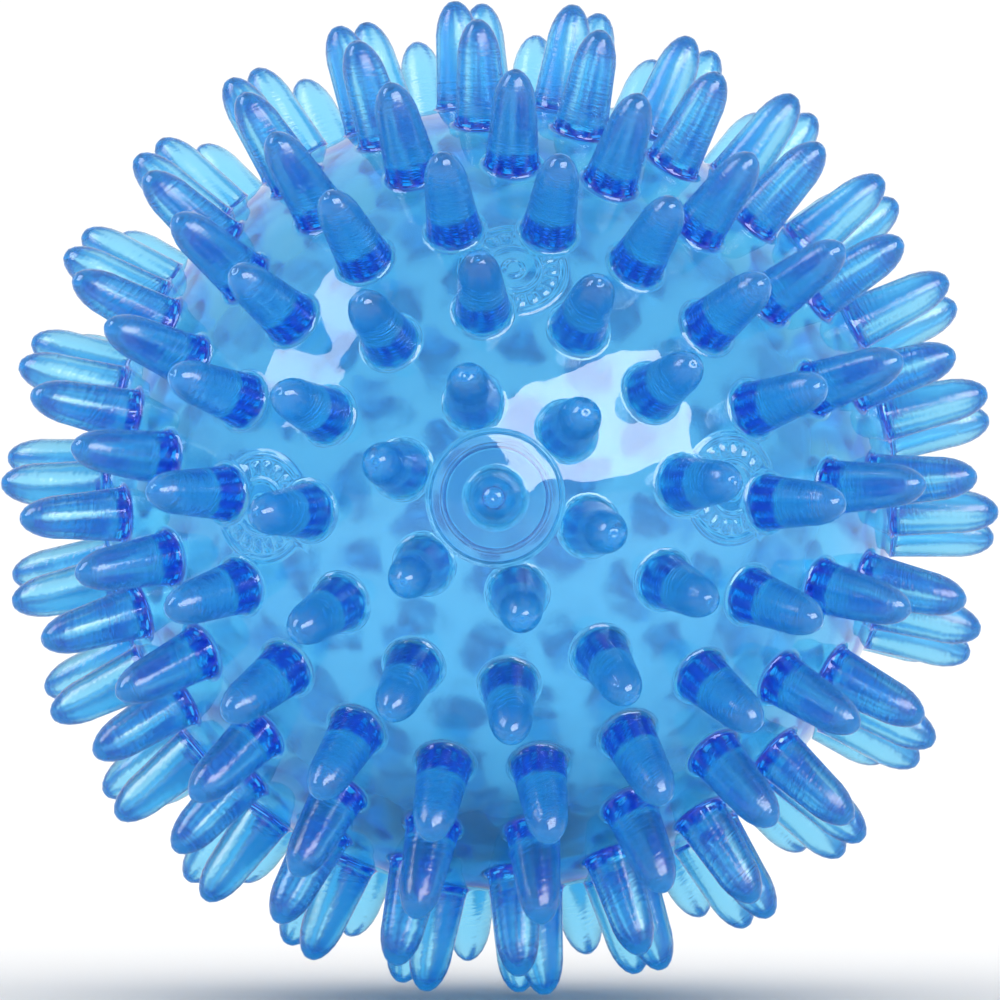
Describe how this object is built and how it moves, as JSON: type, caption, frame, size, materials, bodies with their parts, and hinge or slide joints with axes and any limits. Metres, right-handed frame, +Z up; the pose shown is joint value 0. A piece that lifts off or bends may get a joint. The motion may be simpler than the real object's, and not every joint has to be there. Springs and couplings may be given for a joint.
{
  "type": "spiky massage ball",
  "caption": "Translucent blue spiky massage ball: two thick half shells bonded at the equator, with a pull-out plug at one pole.",
  "frame": {"origin": "centre of the ball", "axes": "-Y along the pole axis, out through the plug; +Z up; +X to the right when looking at the plug"},
  "size_m": [0.0996, 0.1, 0.0996],
  "materials": {
    "front_vinyl": "glossy translucent blue soft vinyl",
    "back_vinyl": "glossy translucent blue soft vinyl",
    "plug_vinyl": "glossy translucent blue soft vinyl"
  },
  "bodies": {
    "ball": {"front_half": "front_vinyl", "back_half": "back_vinyl"},
    "stopper": {"plug": "plug_vinyl"}
  },
  "joints": [
    {"name": "plug_pull", "type": "slide", "parent": "ball", "child": "stopper", "axis": [0, -1, 0], "range_m": [0, 0.02]}
  ]
}
